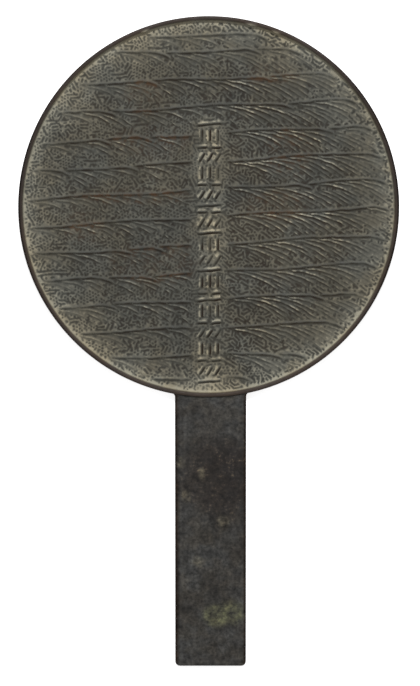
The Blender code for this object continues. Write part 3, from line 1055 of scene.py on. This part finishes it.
def casting():
    """The whole mirror as one closed mesh."""
    work = joined_bodies()
    add_field(work)
    bmesh.ops.recalc_face_normals(work, faces=work.faces)
    for face in work.faces:
        face.smooth = True
    for edge in work.edges:
        in_field = all(face.tag for face in edge.link_faces)
        if not in_field and edge.calc_face_angle() > SHARP_ANGLE:
            edge.smooth = False
    mesh = bpy.data.meshes.new("mirror_casting")
    work.to_mesh(mesh)
    mark_surface(work, mesh)
    work.free()
    return add_object("mirror_casting", mesh)


def set_inputs(node, values):
    """Gives a node's inputs their values by identifier. A value that is a socket is linked."""
    inputs = {socket.identifier: socket for socket in node.inputs}
    for name, value in values.items():
        if isinstance(value, bpy.types.NodeSocket):
            node.id_data.links.new(value, inputs[name])
        else:
            inputs[name].default_value = value


def node_tree(name):
    """A new material with its shader and a short way to add linked nodes."""
    material = bpy.data.materials.new(name)
    material.use_nodes = True
    nodes = material.node_tree.nodes

    def add(kind, inputs=(), **settings):
        node = nodes.new(kind)
        for key, value in settings.items():
            setattr(node, key, value)
        set_inputs(node, dict(inputs))
        return node

    return material, nodes["Principled BSDF"], add


def ramp(add, factor, stops):
    """A colour ramp over a factor, with stops as position and colour."""
    node = add("ShaderNodeValToRGB", {"Fac": factor})
    elements = node.color_ramp.elements
    for index, (position, colour) in enumerate(stops):
        element = elements[index] if index < 2 else elements.new(position)
        element.position = position
        element.color = colour
    return node.outputs["Color"]


def blend_colour(add, factor, low, high, mode="MIX"):
    values = {"Factor_Float": factor, "A_Color": low, "B_Color": high}
    node = add("ShaderNodeMix", values, data_type="RGBA", blend_type=mode)
    return next(item for item in node.outputs if item.identifier == "Result_Color")


def scaled(add, value, low, high, to_low, to_high):
    """A value taken from one range to another, held at its ends."""
    node = add(
        "ShaderNodeMapRange",
        {"Value": value, "From Min": low, "From Max": high, "To Min": to_low, "To Max": to_high},
    )
    return node.outputs["Result"]


def mixed(add, operation, first, second):
    values = {"Value": first, "Value_001": second}
    return add("ShaderNodeMath", values, operation=operation).outputs["Value"]


def noise_value(add, vector, scale, detail=2.0, roughness=0.5):
    values = {"Vector": vector, "Scale": scale, "Detail": detail, "Roughness": roughness}
    return add("ShaderNodeTexNoise", values).outputs["Fac"]


def attribute(add, name):
    return add("ShaderNodeAttribute", attribute_name=name).outputs["Fac"]


def shade(add, colour, *factors):
    """A colour made lighter or darker by factors around 1."""
    for factor in factors:
        grey = add("ShaderNodeCombineColor", {"Red": factor, "Green": factor, "Blue": factor})
        colour = blend_colour(add, 1.0, colour, grey.outputs["Color"], "MULTIPLY")
    return colour


def set_gloss(add, shader, level):
    """A specular level that falls to none along the painted shade at the edges."""
    socket = shader.inputs["Specular IOR Level"]
    socket.default_value = level
    shader.id_data.links.new(scaled(add, attribute(add, "painted_shade_border"), 0.0, 1.0, level, 0.0), socket)


def finish_shader(add, shader, colour, roughness, height, distance):
    """Links a shader's colour and roughness, and a fine bump made from a height."""
    bump = add("ShaderNodeBump", {"Strength": 1.0, "Distance": distance, "Height": height})
    normal = bump.outputs["Normal"]
    set_inputs(shader, {"Base Color": colour, "Roughness": roughness, "Normal": normal})


def patina():
    """The olive-brown patina of the field and rim: dark hollows, pale dirt and rusty stains, with the
    painted light and shade of the relief and of the rim's edge.
    """
    material, shader, add = node_tree("patina")
    place = add("ShaderNodeTexCoord").outputs["Object"]
    # The tone holds the patina and dirt together with the relief's painted light and shade
    level = attribute(add, "tone")
    broad = noise_value(add, place, 55.0, 3.0)
    patches = noise_value(add, place, 230.0, 3.0, 0.6)
    speckle = noise_value(add, place, 1000.0, 1.0, 0.5)
    uneven = mixed(add, "ADD", level, scaled(add, speckle, 0.25, 0.75, -0.18, 0.18))
    colour = ramp(add, scaled(add, uneven, -1.0, 1.0, 0.0, 1.0), PATINA_STOPS)
    colour = blend_colour(add, attribute(add, "rim"), colour, RIM_COLOUR)
    # Painted shade on the rim's left and right edge
    colour = blend_colour(add, attribute(add, "painted_shade_border"), colour, RIM_SIDE_SHADE_COLOUR)
    fragments = noise_value(add, place, 480.0, 3.0, 0.6)
    rust = mixed(add, "MULTIPLY", attribute(add, "rust"), scaled(add, fragments, 0.42, 0.56, 0.0, 0.8))
    rust = mixed(add, "MULTIPLY", rust, scaled(add, level, -0.5, 0.5, 1.0, 0.3))
    colour = blend_colour(add, rust, colour, RUST_COLOUR)
    tint = ramp(add, noise_value(add, place, 70.0, 4.0), [(0.42, COOL_TINT), (0.58, WARM_TINT)])
    colour = blend_colour(add, 1.0, colour, tint, "MULTIPLY")
    colour = shade(
        add,
        colour,
        scaled(add, broad, *NOISE_SPAN, 0.86, 1.14),
        scaled(add, patches, *NOISE_SPAN, 0.85, 1.15),
    )
    roughness = scaled(add, speckle, *NOISE_SPAN, 0.5, 0.72)
    finish_shader(add, shader, colour, roughness, speckle, 0.03 * MM)
    set_gloss(add, shader, 0.2)
    return material


def handle_patina():
    """The handle's darker, smoother brown-black with faint streaks, spots and a green bloom, and painted
    shade along its edges.
    """
    material, shader, add = node_tree("handle_patina")
    place = add("ShaderNodeTexCoord").outputs["Object"]
    stretched = add("ShaderNodeMapping", {"Vector": place, "Scale": (1.0, 0.12, 1.0)}).outputs["Vector"]
    broad = noise_value(add, place, 60.0, 3.0)
    patches = noise_value(add, place, 340.0, 4.0, 0.65)
    speckle = noise_value(add, place, 1000.0, 2.0, 0.6)
    streaks = noise_value(add, stretched, 900.0, 2.0)
    colour = ramp(add, broad, [(0.35, HANDLE_BROWN), (0.6, HANDLE_GREY)])
    dark = mixed(add, "MULTIPLY", attribute(add, "dark"), scaled(add, broad, 0.3, 0.6, 1.0, 0.7))
    colour = blend_colour(add, dark, colour, HANDLE_DARK)
    # Painted shade along the handle's edges
    colour = blend_colour(add, attribute(add, "painted_shade_border"), colour, HANDLE_EDGE_SHADE_COLOUR)
    for name, wanted, most in (("verdigris", VERDIGRIS_COLOUR, 0.8), ("spots", SPOT_COLOUR, 0.65)):
        share = mixed(add, "MULTIPLY", attribute(add, name), scaled(add, patches, 0.3, 0.62, 0.0, most))
        colour = blend_colour(add, share, colour, wanted)
    tint = ramp(add, noise_value(add, place, 230.0, 4.0), [(0.4, HANDLE_COOL_TINT), (0.6, HANDLE_WARM_TINT)])
    colour = blend_colour(add, 1.0, colour, tint, "MULTIPLY")
    flecks = mixed(add, "MULTIPLY", scaled(add, speckle, 0.56, 0.72, 0.0, 0.55), attribute(add, "dark"))
    flecks = mixed(add, "MULTIPLY", flecks, scaled(add, patches, 0.5, 0.62, 0.0, 1.0))
    colour = blend_colour(add, flecks, colour, FLECK_COLOUR)
    colour = shade(
        add,
        colour,
        scaled(add, patches, *NOISE_SPAN, 0.38, 1.62),
        scaled(add, streaks, *NOISE_SPAN, 0.88, 1.12),
        scaled(add, speckle, *NOISE_SPAN, 0.52, 1.48),
    )
    roughness = scaled(add, patches, *NOISE_SPAN, 0.42, 0.62)
    finish_shader(add, shader, colour, roughness, patches, 0.04 * MM)
    set_gloss(add, shader, 0.25)
    return material


def polished_face():
    """The reflecting face, once bright and now dulled, with brown clouds and fine scratches."""
    material, shader, add = node_tree("polished_face")
    place = add("ShaderNodeTexCoord").outputs["Object"]
    clouds = noise_value(add, place, 45.0, 5.0, 0.6)
    specks = noise_value(add, place, 700.0, 3.0)
    colour = ramp(add, clouds, POLISHED_STOPS)
    colour = shade(add, colour, scaled(add, specks, 0.3, 0.6, 0.8, 1.05))
    roughness = scaled(add, clouds, 0.35, 0.65, 0.45, 0.2)
    finish_shader(add, shader, colour, roughness, specks, 0.01 * MM)
    shader.inputs["Metallic"].default_value = 1.0
    return material


mirror = casting()
for material in (patina(), handle_patina(), polished_face()):
    mirror.data.materials.append(material)
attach(mirror, "root")
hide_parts(NODE)

# A plain pale floor that the mirror lies on
floor_mesh = bpy.data.meshes.new("floor")
floor_points = [(x * FLOOR_HALF, y * FLOOR_HALF, 0.0) for x, y in ((-1, -1), (1, -1), (1, 1), (-1, 1))]
floor_mesh.from_pydata(floor_points, [], [(0, 1, 2, 3)])
floor = add_object("floor", floor_mesh)
floor.location.z = -FLOOR_DROP
floor_material, floor_shader, _ = node_tree("floor_white")
set_inputs(floor_shader, {
    "Base Color": FLOOR_WHITE,
    "Roughness": 0.9,
    "Specular IOR Level": 0.0,
    "Emission Color": WHITE,
    "Emission Strength": FLOOR_GLOW,
})
floor_mesh.materials.append(floor_material)

# Even white surroundings and one soft lamp from the top of the picture
world = bpy.data.worlds.new("studio")
world.use_nodes = True
set_inputs(world.node_tree.nodes["Background"], {"Color": WHITE, "Strength": FILL_STRENGTH})
bpy.context.scene.world = world
lamp = bpy.data.lights.new("key", "AREA")
lamp.shape = "DISK"
lamp.size = KEY_SIZE
lamp.energy = KEY_POWER
key = add_object("key", lamp)
key.location = KEY_PLACE
key.rotation_euler = (-Vector(KEY_PLACE)).to_track_quat("-Z", "Y").to_euler()

# A long lens straight above, framed as the photograph is
camera_data = bpy.data.cameras.new("camera")
camera_data.lens = CAMERA_LENS
camera_data.sensor_fit = "VERTICAL"
camera_data.sensor_height = CAMERA_SENSOR
camera_data.clip_start = 0.05
camera = add_object("camera", camera_data)
view_height = IMAGE_HEIGHT * PIXEL
camera.location = (
    (IMAGE_WIDTH / 2 - DISC_CENTRE_IN_IMAGE[0]) * PIXEL,
    (DISC_CENTRE_IN_IMAGE[1] - IMAGE_HEIGHT / 2) * PIXEL,
    RIM_THICKNESS + view_height * CAMERA_LENS / CAMERA_SENSOR,
)
bpy.context.scene.camera = camera
bpy.context.scene.view_settings.view_transform = "Standard"
